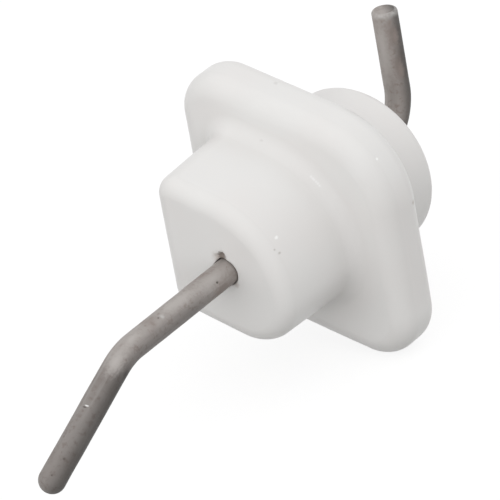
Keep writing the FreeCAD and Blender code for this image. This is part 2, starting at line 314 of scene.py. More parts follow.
def add_attribute(piece, name, values):
    """Stores one number or one vector for each vertex, for the piece's material to read."""
    kind, field = ("FLOAT", "value") if values.ndim == 1 else ("FLOAT_VECTOR", "vector")
    attribute = piece.data.attributes.new(name, kind, "POINT")
    attribute.data.foreach_set(field, values.astype(np.float32).ravel())


# %% Helpers shared by the surfaces
def slopes(grid, loop_rows=True):
    """Direction along the rows and round the columns: half the step between the two neighbours."""
    round_it = (np.roll(grid, -1, axis=1) - np.roll(grid, 1, axis=1)) / 2
    if loop_rows:
        return (np.roll(grid, -1, axis=0) - np.roll(grid, 1, axis=0)) / 2, round_it
    return np.gradient(grid, axis=0), round_it


def outward(grid, loop_rows=True):
    """Unit normals of a grid: the cross product of its two directions, made one long."""
    along, round_it = slopes(grid, loop_rows)
    normal = np.cross(round_it, along)
    length = np.linalg.norm(normal, axis=-1, keepdims=True)
    return normal / np.maximum(length, 1e-15)


def bulge(grid):
    """Mean curvature, positive where the surface bulges outwards, in 1/m.

    With P the points, n the normals and u, v the two directions, it is half of
    (nu.Pu G - (nu.Pv + nv.Pu) F + nv.Pv E) / (EG - FF), where E = Pu.Pu, F = Pu.Pv and G = Pv.Pv.
    """
    (pu, pv), (nu, nv) = slopes(grid), slopes(outward(grid))

    def dot(a, b):
        return (a * b).sum(axis=-1)

    e, f, g = dot(pu, pu), dot(pu, pv), dot(pv, pv)
    total = dot(nu, pu) * g - (dot(nu, pv) + dot(nv, pu)) * f + dot(nv, pv) * e
    return total / np.maximum(e * g - f * f, 1e-24) / 2


def edge_share(grid, radius):
    """0 on a face that bulges less than a rod of this radius, rising to 1 where it bulges twice as much."""
    return np.clip(bulge(grid) * 2 * radius - 1, 0, 1)


def soft_waves(points, wavelength, seed, count=24):
    """Smooth unevenness between -1 and 1 at each point.

    It is a sum of sine waves of about the same wavelength, with directions, lengths and phases
    drawn once from a seed, divided by what such a sum reaches.
    """
    draw = np.random.default_rng(seed)
    direction = draw.normal(size=(3, count))
    direction /= np.linalg.norm(direction, axis=0)
    rate = TAU / (wavelength * draw.uniform(0.7, 1.5, count))
    phase = draw.uniform(0, TAU, count)
    waves = np.sin(points @ (direction * rate) + phase).sum(axis=-1)
    return np.clip(waves / math.sqrt(2 * count), -1, 1)


# %% [markdown]
# ## The ceramic insulator
#
# It is one fired piece: a keyed boss that goes through the burner's door, a diamond flange that
# seats on it and a round collar behind. It could be made with boolean joins and bevels, but a glazed
# surface shows every facet and every kink. So it is one closed surface instead: rings round the
# axis, carried along a profile that goes over the boss, the flange and the collar, into the potting
# well, through the bore and back to where it began.
#
# Seen from the front, boss and flange are rhombi with rounded corners. Two sides stand upright and
# two slope down to the right.

# %% Measures of the insulator, in millimetres
FLANGE_THICKNESS = 6.8
BOSS_DEPTH = -ceramic_low.y / MM
COLLAR_FACE = ceramic_high.y / MM
FLANGE_SLOPE, BOSS_SLOPE = math.radians(14.4), math.radians(16.4)
FLANGE_REACH = np.full(4, ceramic_high.x / MM)
FLANGE_CORNERS = np.array([10.9, 5.1, 10.9, 5.1])
FLANGE_ROUND = 2.5
BOSS_REACH = np.array([8.15, 8.32, 8.8, 8.4])
BOSS_CORNERS = np.array([12.2, 2.6, 3.5, 6.1])
BOSS_DRAFT = math.radians(2.2)
BOSS_ROUND, BOSS_ROOT_ROUND = 2.0, 1.8
COLLAR_RADIUS, COLLAR_ROUND, COLLAR_ROOT_ROUND = 9.7, 1.0, 0.5
WELL_RADIUS, WELL_DEPTH, WELL_ROUND = 4.0, 6.0, 0.3
WIRE_RADIUS = 1.5
BORE_RADIUS, BORE_ROUND, MOUTH_REACH = 1.57, 0.2, 0.9
DIRECTIONS = np.linspace(TAU, 0, 512, endpoint=False)
print("Boss, flange and collar, mm:", round(BOSS_DEPTH, 2), FLANGE_THICKNESS,
      round(COLLAR_FACE - FLANGE_THICKNESS, 2))


# %% Rings round the axis
def rhombus_ring(inset, reach, corners, slope):
    """Distance from the axis to a rounded rhombus, moved in by each inset, in every direction.

    Two sides stand upright and two slope down to the right by an angle. A straight side that faces
    f and lies d from the axis is d / cos(direction - f) away, and the nearest side counts. Between
    the two points where a corner's arc meets its sides, the arc counts instead: with c its centre
    and u the direction, it is c.u + sqrt(r^2 - c.c + (c.u)^2) away.
    """
    inset = np.reshape(inset, (-1, 1))
    facing = np.array([0, QUARTER - slope, math.pi, 3 * QUARTER - slope])
    toward = np.cos(DIRECTIONS - facing[:, None])
    sides = (reach[:, None, None] - inset) / np.maximum(toward, 1e-3)[:, None, :]
    ring = sides.min(axis=0)
    outwards = np.stack([np.cos(facing), np.sin(facing)], axis=-1)
    for first in range(4):
        second = (first + 1) % 4
        pair = [first, second]
        centre = np.linalg.solve(outwards[pair], reach[pair] - corners[first])
        radius = corners[first] - inset
        meets = centre + radius[..., None] * outwards[pair]
        start, end = np.moveaxis(np.arctan2(meets[..., 1], meets[..., 0]), -1, 0)[..., None]
        inside = (DIRECTIONS - start) % TAU < (end - start) % TAU
        ahead = centre[0] * np.cos(DIRECTIONS) + centre[1] * np.sin(DIRECTIONS)
        arc = ahead + np.sqrt(np.maximum(radius ** 2 - centre @ centre + ahead ** 2, 0))
        ring = np.where(inside, arc, ring)
    return ring


def boss_ring(inset):
    """Rings of the boss at its root, moved in by each inset."""
    return rhombus_ring(inset, BOSS_REACH, BOSS_CORNERS, BOSS_SLOPE)


def flange_ring(inset):
    """Rings of the flange at its widest, moved in by each inset."""
    return rhombus_ring(inset, FLANGE_REACH, FLANGE_CORNERS, FLANGE_SLOPE)


def circle_ring(radius):
    """Round rings, one for each radius."""
    return np.repeat(np.reshape(radius, (-1, 1)), len(DIRECTIONS), axis=1)


boss_reach, flange_reach = boss_ring(0).max(), flange_ring(0).max()
print("Furthest from the axis, mm: boss", round(boss_reach, 2), "flange", round(flange_reach, 2))


# %% [markdown]
# The profile is made of stretches. A straight stretch blends one ring into the next, and a rounded
# one follows an arc from one facing to another. The arc's angle is the direction that the surface
# faces there, from 0, to the front, through a quarter turn, outwards, to a half turn, to the rear.


# %% Stretches of the profile
def steps(count):
    """Even steps from 0 to 1 that leave out the last, where the next stretch begins."""
    return np.linspace(0, 1, count, endpoint=False)


def straight(count, start_ring, end_ring, start_y, end_y):
    """Rings and depths that go evenly from one ring to another."""
    share = steps(count)[:, None]
    return (1 - share) * start_ring + share * end_ring, start_y + (end_y - start_y) * share[:, 0]


def rounded(count, ring_of, centre_out, centre_y, radius, start, end):
    """Rings and depths on an arc about a centre: out + radius sin(a) and y - radius cos(a).

    ring_of turns how far out a point lies into a ring. A negative radius makes a hollow crease.
    """
    facing = start + (end - start) * steps(count)
    return ring_of(centre_out + radius * np.sin(facing)), centre_y - radius * np.cos(facing)


def boss_side(y):
    """How far out the drafted side of the boss lies at a depth, from its outline at the root."""
    return y * math.tan(BOSS_DRAFT)


def insulator_profile():
    """All stretches in turn, from the bore's front mouth round to the bore's wall and back."""
    def over_boss(out):
        return boss_ring(-out)

    def over_flange(out):
        return flange_ring(-out)

    lean = QUARTER - BOSS_DRAFT
    rim_y = -BOSS_DEPTH + BOSS_ROUND
    rim_out = boss_side(rim_y) - BOSS_ROUND / math.cos(BOSS_DRAFT)
    rim_ring = over_boss(rim_out + BOSS_ROUND * math.sin(lean))
    root_y = -BOSS_ROOT_ROUND
    root_out = boss_side(root_y) + BOSS_ROOT_ROUND / math.cos(BOSS_DRAFT)
    root_ring = over_boss(root_out - BOSS_ROOT_ROUND * math.sin(lean))
    rear_round = FLANGE_THICKNESS - FLANGE_ROUND
    well_floor = COLLAR_FACE - WELL_DEPTH
    rim_end = rim_y - BOSS_ROUND * math.cos(lean)
    root_start = root_y + BOSS_ROOT_ROUND * math.cos(lean)
    return [
        straight(10, circle_ring(BORE_RADIUS + BORE_ROUND), circle_ring(BORE_RADIUS + MOUTH_REACH),
                 -BOSS_DEPTH, -BOSS_DEPTH),
        straight(9, circle_ring(BORE_RADIUS + MOUTH_REACH), over_boss(rim_out), -BOSS_DEPTH, -BOSS_DEPTH),
        rounded(18, over_boss, rim_out, rim_y, BOSS_ROUND, 0, lean),
        straight(10, rim_ring, root_ring, rim_end, root_start),
        rounded(12, over_boss, root_out, root_y, -BOSS_ROOT_ROUND, lean, 0),
        straight(8, over_boss(root_out), over_flange(-FLANGE_ROUND), 0, 0),
        rounded(16, over_flange, -FLANGE_ROUND, FLANGE_ROUND, FLANGE_ROUND, 0, QUARTER),
        straight(3, over_flange(0), over_flange(0), FLANGE_ROUND, rear_round),
        rounded(16, over_flange, -FLANGE_ROUND, rear_round, FLANGE_ROUND, QUARTER, math.pi),
        straight(4, over_flange(-FLANGE_ROUND), circle_ring(COLLAR_RADIUS + COLLAR_ROOT_ROUND),
                 FLANGE_THICKNESS, FLANGE_THICKNESS),
        rounded(6, circle_ring, COLLAR_RADIUS + COLLAR_ROOT_ROUND, FLANGE_THICKNESS + COLLAR_ROOT_ROUND,
                -COLLAR_ROOT_ROUND, math.pi, QUARTER),
        straight(6, circle_ring(COLLAR_RADIUS), circle_ring(COLLAR_RADIUS),
                 FLANGE_THICKNESS + COLLAR_ROOT_ROUND, COLLAR_FACE - COLLAR_ROUND),
        rounded(10, circle_ring, COLLAR_RADIUS - COLLAR_ROUND, COLLAR_FACE - COLLAR_ROUND, COLLAR_ROUND,
                QUARTER, math.pi),
        straight(6, circle_ring(COLLAR_RADIUS - COLLAR_ROUND), circle_ring(WELL_RADIUS + WELL_ROUND),
                 COLLAR_FACE, COLLAR_FACE),
        rounded(5, circle_ring, WELL_RADIUS + WELL_ROUND, COLLAR_FACE - WELL_ROUND, WELL_ROUND,
                math.pi, 3 * QUARTER),
        straight(5, circle_ring(WELL_RADIUS), circle_ring(WELL_RADIUS), COLLAR_FACE - WELL_ROUND, well_floor),
        straight(3, circle_ring(WELL_RADIUS), circle_ring(BORE_RADIUS), well_floor, well_floor),
        straight(10, circle_ring(BORE_RADIUS), circle_ring(BORE_RADIUS), well_floor, BORE_ROUND - BOSS_DEPTH),
        rounded(6, circle_ring, BORE_RADIUS + BORE_ROUND, BORE_ROUND - BOSS_DEPTH, BORE_ROUND,
                3 * QUARTER, TAU),
    ]


stretches = insulator_profile()
print("Profile:", len(stretches), "stretches,", sum(len(depths) for _, depths in stretches), "rings")

# %% Build the insulator
GLAZE_UNEVEN, GLAZE_WAVE = 0.03 * MM, 9 * MM
# Next: the radius for thin-glaze edges, and how far the crease colour spreads, painted darker as pooled glaze
# and as painted shade.
THIN_RADIUS, POOL_SHADE_RADIUS, POOL_SHADE_RINGS = 4 * MM, 2 * MM, 3
CHIPS = [
    # direction round the bore in degrees, distance from the axis, size and depth in millimetres
    (91, 2.00, 0.36, 0.42),
    (112, 1.85, 0.40, 0.24),
]


def insulator_grid(stretches):
    """Points at (ring cos, y, ring sin), moved in by a little soft unevenness of the glaze.

    Each chip at the bore's mouth moves them by depth x exp(-(distance from the chip / size)^2),
    slantwise into the rim. All move the same way there, so that the surface never folds.
    """
    ring = np.concatenate([rings for rings, _ in stretches])
    depth = np.concatenate([depths for _, depths in stretches])[:, None]
    grid = np.stack([ring * np.cos(DIRECTIONS), depth + 0 * ring, ring * np.sin(DIRECTIONS)], axis=-1) * MM
    inwards = (1 - soft_waves(grid, GLAZE_WAVE, seed=3)) / 2 * GLAZE_UNEVEN
    grid -= outward(grid) * inwards[..., None]
    for direction, out, size, deep in CHIPS:
        turn = math.radians(direction)
        chip = np.array([out * math.cos(turn), -BOSS_DEPTH, out * math.sin(turn)]) * MM
        into = np.array([math.cos(turn), 1, math.sin(turn)]) / math.sqrt(2)
        away = np.linalg.norm(grid - chip, axis=-1) / (size * MM)
        grid += (deep * MM * np.exp(-away ** 2))[..., None] * into
    return grid


def crease_share(grid):
    """How hollow each point is, from 0 to 1, averaged over the nearest rings so that it ends softly."""
    hollow = np.clip(-bulge(grid) * POOL_SHADE_RADIUS, 0, 1)
    shifts = range(-POOL_SHADE_RINGS, POOL_SHADE_RINGS + 1)
    return sum(np.roll(hollow, shift, axis=0) for shift in shifts) / len(shifts)


glaze_grid = insulator_grid(stretches)
insulator = surface_piece("insulator_glazed", glaze_grid)
add_attribute(insulator, "edge", edge_share(glaze_grid, THIN_RADIUS).ravel())
add_attribute(insulator, "crease", crease_share(glaze_grid).ravel())
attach(insulator, "root")
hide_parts("ceramic_insulator")

# %% [markdown]
# ## The electrode wire
#
# The electrode is one 3 mm wire with two bends. A curve object with a round bevel would do for a
# plain one, but the real wire has a domed hot tip, a sheared terminal end with a chamfer, and a
# slightly flattened section in its bends. So its round section is carried along the centre line, and
# every ring may have its own size.
#
# The centre line comes from its heading alone: the heading stays level, turns evenly through each
# bend, and its running sum gives the line.

# %% Measures of the wire, in millimetres
FRONT_RUN, FRONT_BEND_RADIUS, FRONT_BEND_ANGLE, TIP_RUN = 16.7, 7.3, math.radians(26.3), 16.0
REAR_RUN, REAR_BEND_RADIUS, TERMINAL_RUN, TERMINAL_CHAMFER = 2.7, 5.5, 9.7, 0.4
FRONT_BEND = FRONT_BEND_RADIUS * FRONT_BEND_ANGLE
REAR_BEND = REAR_BEND_RADIUS * QUARTER
STRAIGHT_RUN = FRONT_RUN + BOSS_DEPTH + COLLAR_FACE + REAR_RUN
STARTS = np.cumsum([0, TIP_RUN, FRONT_BEND, STRAIGHT_RUN, REAR_BEND, TERMINAL_RUN])
BEND_FLATTENING = 0.02
AROUND = np.linspace(TAU, 0, 84, endpoint=False)
print("Wire, mm: starts of its runs and bends", STARTS.round(2).tolist())


# %% Centre line
def heading_at(along):
    """Angle of the wire above level: evenly through each bend, and constant between them."""
    return np.interp(along, STARTS[1:5], [FRONT_BEND_ANGLE, 0, 0, QUARTER])


def centre_line(along):
    """Points (y, z) at each length along the wire, from the running sum of the heading.

    A fine, even sum of (cos, sin) of the heading gives the line, which is then moved so that the
    straight run lies on the axis with its front end that far before the boss.
    """
    fine = np.linspace(0, STARTS[-1], 20001)
    middle = heading_at((fine[1:] + fine[:-1]) / 2)
    step = fine[1] - fine[0]
    y = np.concatenate([[0], np.cumsum(np.cos(middle))]) * step
    z = np.concatenate([[0], np.cumsum(np.sin(middle))]) * step
    y += -BOSS_DEPTH - FRONT_RUN - np.interp(STARTS[2], fine, y)
    z -= np.interp(STARTS[2], fine, z)
    return np.interp(along, fine, y), np.interp(along, fine, z)


ends_y, ends_z = centre_line(STARTS[[0, -1]])
print("Tip and terminal end at y, z in mm:", [[round(y, 2), round(z, 2)] for y, z in zip(ends_y, ends_z)])

# %% Stations along the wire
FLAT_RINGS = 6


def wire_stations():
    """Lengths along the wire and the radius there: domed tip, long body, rolled edge, sheared end.

    On the dome, a point at the angle b from the tip lies r (1 - cos b) along and r sin b out, and
    the edge of the sheared end is rounded in the same way.
    """
    turn = (np.arange(12) + 0.5) / 12 * QUARTER
    dome = np.stack([WIRE_RADIUS * (1 - np.cos(turn)), WIRE_RADIUS * np.sin(turn)])
    body_end = STARTS[-1] - TERMINAL_CHAMFER
    body = np.linspace(WIRE_RADIUS, body_end, 600)
    turn = np.linspace(0, QUARTER, 7)[1:]
    edge = np.stack([body_end + TERMINAL_CHAMFER * np.sin(turn),
                     WIRE_RADIUS - TERMINAL_CHAMFER * (1 - np.cos(turn))])
    flat = np.linspace(edge[1, -1], 0, FLAT_RINGS + 1)[1:-1]
    along = np.concatenate([dome[0], body, edge[0], np.full(len(flat), STARTS[-1])])
    radius = np.concatenate([dome[1], np.full(len(body), WIRE_RADIUS), edge[1], flat])
    return along, radius


def wire_grid(along, radius):
    """Centre + radius (cos a across + sin a normal), where the normal is the heading turned up.

    In a bend the section is a little flatter towards the bend's centre.
    """
    y, z = centre_line(along)
    heading = heading_at(along)
    front = np.exp(-((along - STARTS[1:3].mean()) / FRONT_BEND) ** 2)
    rear = np.exp(-2 * ((along - STARTS[3:5].mean()) / REAR_BEND) ** 2)
    flat = radius * (1 - BEND_FLATTENING * (front + rear))
    across = radius[:, None] * np.cos(AROUND)
    rise = flat[:, None] * np.sin(AROUND)
    return np.stack([across, y[:, None] - rise * np.sin(heading)[:, None],
                     z[:, None] + rise * np.cos(heading)[:, None]], axis=-1) * MM


print("Rings along the wire:", len(wire_stations()[0]))

# %% [markdown]
# A real wire is never quite even: drawing and bending leave shallow flats and dents. The surface
# moves in by a few hundredths of a millimetre in soft waves, and by a little more in the dents. Each
# vertex also stores where it lies on the straightened wire, so that a pattern can follow the bends.

# %% Build the wire
WIRE_UNEVEN, WIRE_WAVE = 0.02, 4 * MM
DENTS = [
    # length along the wire, direction round it in degrees, long, wide and deep, all else in millimetres
    (10.1, 78, 0.35, 0.18, 0.06),
    (15.6, -4, 0.80, 0.35, 0.05),
    (23.9, 59, 0.30, 0.30, 0.03),
    (33.0, 27, 0.22, 0.22, 0.10),
    (82.9, 12, 0.35, 0.45, 0.12),
]


def dent_depth(along, around):
    """Depth of all dents: each is deep x exp(-(distance along / long)^2 - (round / wide)^2)."""
    depth = np.zeros(np.broadcast(along, around).shape)
    for at, direction, long, wide, deep in DENTS:
        turn = (around - math.radians(direction) + math.pi) % TAU - math.pi
        depth += deep * np.exp(-((along - at) / long) ** 2 - (turn * WIRE_RADIUS / wide) ** 2)
    return depth


def make_wire():
    """The bent surface, its dents and unevenness, and the attributes its finish reads."""
    along, radius = wire_stations()
    grid = wire_grid(along, radius)
    uneven = (soft_waves(grid, WIRE_WAVE, seed=11) - 1) / 2 * WIRE_UNEVEN
    inwards = uneven - dent_depth(along[:, None], AROUND)
    grid = grid + outward(grid, loop_rows=False) * (inwards * MM)[..., None]
    ends = grid[[0, -1]].mean(axis=1)
    wire = surface_piece("electrode_wire", grid, loop_rows=False, poles=ends.tolist())
    on_wire = np.stack([radius[:, None] * np.cos(AROUND), radius[:, None] * np.sin(AROUND),
                        along[:, None] + 0 * AROUND], axis=-1).reshape(-1, 3)
    on_axis = [[0, 0, along[0]], [0, 0, along[-1]]]
    add_attribute(wire, "on_wire", np.concatenate([on_wire, on_axis]) * MM)
    terminal_edge = np.exp(-((along - STARTS[-1] + TERMINAL_CHAMFER / 2) / TERMINAL_CHAMFER) ** 2)
    terminal_edge *= radius > WIRE_RADIUS - TERMINAL_CHAMFER
    add_attribute(wire, "edge", np.append(np.repeat(terminal_edge, len(AROUND)), [0, 0]))
    return wire


wire = make_wire()
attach(wire, "root")
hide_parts("electrode_rod")

# %% [markdown]
# Inside the cement, two ears are squeezed out of the wire so that it can neither turn nor slide. They
# make one small bar across it, a superellipsoid: a ball whose sines and cosines are raised to a power
# below one, which squares it up.

# %% Build the staked ears
EAR_SPAN, EAR_GAUGE, EAR_LENGTH = 4.6, 1.6, 2.2
EAR_SQUARENESS = 0.35


def squared(wave):
    """A sine or cosine raised to a power, keeping its sign."""
    return np.sign(wave) * np.abs(wave) ** EAR_SQUARENESS


def ear_grid():
    """Half-sizes times (cos b cos a, sin b, cos b sin a), each squared up, about the ears' middle."""
    tilt = np.linspace(-QUARTER, QUARTER, 26)[1:-1][:, None]
    turn = np.linspace(TAU, 0, 48, endpoint=False)
    middle = COLLAR_FACE - WELL_DEPTH + EAR_LENGTH / 2
    return np.stack([EAR_SPAN / 2 * squared(np.cos(tilt)) * squared(np.cos(turn)),
                     middle + EAR_LENGTH / 2 * squared(np.sin(tilt)) + 0 * turn,
                     EAR_GAUGE / 2 * squared(np.cos(tilt)) * squared(np.sin(turn))], axis=-1) * MM


ears_grid = ear_grid()
ears_ends = ears_grid[[0, -1]].mean(axis=1)
ears = surface_piece("staked_ears", ears_grid, loop_rows=False, poles=ears_ends.tolist())
straightened = np.concatenate([ears_grid.reshape(-1, 3), ears_ends])[:, [0, 2, 1]]
straightened[:, 2] += (STARTS[2] + FRONT_RUN + BOSS_DEPTH) * MM
add_attribute(ears, "on_wire", straightened)
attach(ears, "root")
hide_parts("electrode_rod")

# %% [markdown]
# ## The potting cement
#
# White refractory cement fills the well behind the boss and was drawn up round the wire as it was
# poured. It is a ring whose section is carried round the wire, with a grainy rear face.

# %% Build the cement
CEMENT_RECESS, CEMENT_RISE, SLEEVE_LENGTH = 0.3, 0.7, 5.0
GRAIN_DEPTH, GRAIN_COARSE, GRAIN_FINE = 0.06 * MM, 0.9 * MM, 0.35 * MM


def cement_grid():
    """A closed section of (out, y) carried round the axis: (out cos a, y, out sin a).

    The section runs from the sleeve's foot up the wire, over the quarter round that was drawn up it,
    across the face and down the well. Only the face is grainy, and its last rows stay even.
    """
    face, floor = COLLAR_FACE - CEMENT_RECESS, COLLAR_FACE - WELL_DEPTH
    sleeve = floor - SLEEVE_LENGTH
    climb = np.linspace(0, 1, 12, endpoint=False)
    rise_out = WIRE_RADIUS + CEMENT_RISE * (1 - np.cos(climb * QUARTER))
    rise_y = face + CEMENT_RISE * (1 - np.sin(climb * QUARTER))
    field_out = np.linspace(WIRE_RADIUS + CEMENT_RISE, WELL_RADIUS, 22)
    out = np.concatenate([[WIRE_RADIUS], rise_out, field_out, [WELL_RADIUS, BORE_RADIUS, BORE_RADIUS]])
    y = np.concatenate([[sleeve], rise_y, np.full(len(field_out), face), [floor, floor, sleeve]])
    angle = np.linspace(0, TAU, 160, endpoint=False)
    out, y = out[:, None], y[:, None]
    grid = np.stack([out * np.cos(angle), y + 0 * angle, out * np.sin(angle)], axis=-1) * MM
    grain = soft_waves(grid, GRAIN_COARSE, seed=5) + soft_waves(grid, GRAIN_FINE, seed=6) / 2
    on_face = np.zeros(len(out))
    on_face[1:len(climb) + len(field_out) - 1] = 1
    grid[..., 1] += (grain - 1) * on_face[:, None] * GRAIN_DEPTH
    return grid


cement = surface_piece("potting_cement_fill", cement_grid())
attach(cement, "root")
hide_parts("potting_cement")


# %% [markdown]
# ## Effects that several finishes share
#
# Blotches of colour and fine grain turn up on glaze, oxidised metal and cement alike, only at other
# scales. Each is a node group with named sockets, built once and placed in each material with its
# own values. The groups put out masks and heights, and the shader itself stays in the material.

# %% Shared node groups
def new_group(name, inputs, outputs):
    """A shader node group with named sockets; returns it with its input and output nodes."""
    group = bpy.data.node_groups.new(name, "ShaderNodeTree")
    for kind, label, default in inputs:
        socket = group.interface.new_socket(label, in_out="INPUT", socket_type=kind)
        if default is not None:
            socket.default_value = default
    for kind, label in outputs:
        group.interface.new_socket(label, in_out="OUTPUT", socket_type=kind)
    return group, put(group, "NodeGroupInput").outputs, put(group, "NodeGroupOutput").inputs


def blotch_group():
    """Soft-edged blotches: noise, stretched between two levels into a mask from 0 to 1."""
    group, given, gives = new_group(
        "blotches",
        [("NodeSocketVector", "Vector", None), ("NodeSocketFloat", "Scale", 100.0),
         ("NodeSocketFloat", "Detail", 3.0), ("NodeSocketFloat", "Low", 0.35),
         ("NodeSocketFloat", "High", 0.65)],
        [("NodeSocketFloat", "Mask")])
    noise = put(group, "ShaderNodeTexNoise", Vector=given["Vector"], Scale=given["Scale"],
                Detail=given["Detail"], Roughness=0.55)
    mask = put(group, "ShaderNodeMapRange", {"interpolation_type": "SMOOTHSTEP"}, Value=noise.outputs[0],
               From_Min=given["Low"], From_Max=given["High"])
    group.links.new(mask.outputs[0], gives["Mask"])
    return group


def spot_group():
    """One ragged spot at a given point: full out to a share of its radius, then soft to its edge.

    The distance from the centre, stretched on each axis, is compared with a radius that noise
    makes a little longer here and shorter there.
    """
    group, given, gives = new_group(
        "spot",
        [("NodeSocketVector", "Vector", None), ("NodeSocketVector", "Centre", None),
         ("NodeSocketVector", "Stretch", (1.0, 1.0, 1.0)), ("NodeSocketFloat", "Radius", 0.0003),
         ("NodeSocketFloat", "Full", 0.5)],
        [("NodeSocketFloat", "Mask")])
    offset = put(group, "ShaderNodeVectorMath", {"operation": "SUBTRACT"}, _0=given["Vector"],
                 _1=given["Centre"])
    scaled = put(group, "ShaderNodeVectorMath", {"operation": "MULTIPLY"}, _0=offset.outputs[0],
                 _1=given["Stretch"])
    away = put(group, "ShaderNodeVectorMath", {"operation": "LENGTH"}, _0=scaled.outputs[0])
    ragged = put(group, "ShaderNodeTexNoise", Vector=given["Vector"], Scale=3000.0, Detail=1.0)
    wander = put(group, "ShaderNodeMapRange", Value=ragged.outputs[0], From_Min=0.3, From_Max=0.7,
                 To_Min=0.8, To_Max=1.2)
    reach = product_of(group, given["Radius"], wander.outputs[0])
    share = put(group, "ShaderNodeMath", {"operation": "DIVIDE"}, _0=away.outputs["Value"], _1=reach)
    mask = put(group, "ShaderNodeMapRange", {"interpolation_type": "SMOOTHSTEP"}, Value=share.outputs[0],
               From_Min=1.2, From_Max=given["Full"])
    group.links.new(mask.outputs[0], gives["Mask"])
    return group


def wear_group():
    """Worn edges: how much of an edge a point is, broken up by noise, times an amount."""
    group, given, gives = new_group(
        "edge_wear",
        [("NodeSocketVector", "Vector", None), ("NodeSocketFloat", "Edge", 0.0),
         ("NodeSocketFloat", "Scale", 500.0), ("NodeSocketFloat", "Amount", 1.0)],
        [("NodeSocketFloat", "Mask")])
    noise = put(group, "ShaderNodeTexNoise", Vector=given["Vector"], Scale=given["Scale"], Detail=4.0)
    broken = put(group, "ShaderNodeMapRange", Value=noise.outputs[0], From_Min=0.3, From_Max=0.6)
    mask = product_of(group, product_of(group, given["Edge"], broken.outputs[0]), given["Amount"])
    group.links.new(mask, gives["Mask"])
    return group


def attribute_of(tree, name):
    """A number that the piece stores for each vertex."""
    return put(tree, "ShaderNodeAttribute", {"attribute_name": name}).outputs["Fac"]


def use_group(tree, group, **sockets):
    """Places a group in a material and returns its first output."""
    return put(tree, "ShaderNodeGroup", {"node_tree": group}, **sockets).outputs[0]


blotches = blotch_group()
spot = spot_group()
wear = wear_group()
print("Groups:", [group.name for group in bpy.data.node_groups])

# %% [markdown]
# ## Finishes
#
# The glaze is white with a breath of warmth and a soft gloss. The wire was drawn, heated and
# oxidised: dull brown-grey, with fine marks along its length and soft blotches. The cement is matt
# and grainy.

# %% Glazed ceramic
GLAZE_WHITE = (0.805, 0.797, 0.785, 1)
GLAZE_WARM = (0.80, 0.783, 0.77, 1)
# The pooled colour is pooled glaze and also painted shade in the creases.
GLAZE_POOLED_SHADE = (0.755, 0.742, 0.728, 1)
GLAZE_THIN = (0.77, 0.757, 0.743, 1)
# The next colours include painted highlights: a white glint and a paler glint line on the glaze.
PAINTED_GLINT = (0.98, 0.98, 0.97, 1)
SMUDGE, FAINT_SMUDGE = (0.56, 0.535, 0.51, 1), (0.70, 0.685, 0.67, 1)
PAINTED_RIPPLE_GLINT, BROWNISH = (0.88, 0.87, 0.86, 1), (0.56, 0.51, 0.47, 1)
# Stain and painted shade at the bore's mouth: dark in the chip, faint round it.
CHIP_SHADE_AND_STAIN, MOUTH_SHADE_AND_STAIN = (0.22, 0.185, 0.165, 1), (0.55, 0.505, 0.475, 1)
GLAZE_MARKS_AND_GLINTS = [
    # place near the surface in millimetres, stretch on each axis, radius, share that is full, colour:
    # painted glints in place of pimples and a ripple that catch the light, grit, smudges, and a stain with
    # painted shade in the chipped mouth
    ((5.66, -9.77, 3.88), (1.6, 0.7, 0.8), 0.22, 0.3, PAINTED_GLINT),
    *[((4.36 + step, -0.47, 6.44 - 0.96 * step), (1, 1, 1), 0.19, 0.0, PAINTED_RIPPLE_GLINT)
      for step in (0, 0.2, 0.4, 0.6, 0.8, 1)],
    ((11.56, 2.73, 8.31), (1, 1, 1), 0.18, 0.3, PAINTED_GLINT),
    ((6.41, -10.31, 2.58), (1, 0.6, 1), 0.16, 0.0, SMUDGE),
    ((6.11, -10.57, 3.07), (1, 1, 1), 0.15, 0.0, SMUDGE),
    ((13.45, 4.94, 2.04), (1, 0.8, 0.8), 0.28, 0.1, BROWNISH),
    ((-1.68, -0.21, 9.85), (0.7, 1, 1), 0.20, 0.0, FAINT_SMUDGE),
    ((-2.24, 4.24, 14.55), (0.8, 0.8, 1), 0.26, 0.0, FAINT_SMUDGE),
    # Painted shade and a stain round the bore's mouth and in its chip.
    ((-0.70, -12.1, 1.72), (1, 1, 1), 0.85, 0.0, MOUTH_SHADE_AND_STAIN),
    ((1.17, -12.2, -1.22), (1, 1, 1), 0.50, 0.0, MOUTH_SHADE_AND_STAIN),
    ((-0.20, -11.9, 1.90), (1, 0.7, 1), 0.66, 0.35, CHIP_SHADE_AND_STAIN),
]


def nearest(grid, place):
    """The grid's point nearest to a place given in millimetres."""
    away = np.linalg.norm(grid - np.array(place) * MM, axis=-1)
    return grid[np.unravel_index(away.argmin(), away.shape)]


def mark_over(tree, place, colour, marks):
    """Lays each mark over a colour: its ragged spot is the mask."""
    for centre, stretch, radius, full, tint in marks:
        mask = use_group(tree, spot, Vector=place, Centre=tuple(centre), Stretch=stretch,
                         Radius=radius * MM, Full=full)
        colour = blend_colour(tree, mask, colour, tint)
    return colour


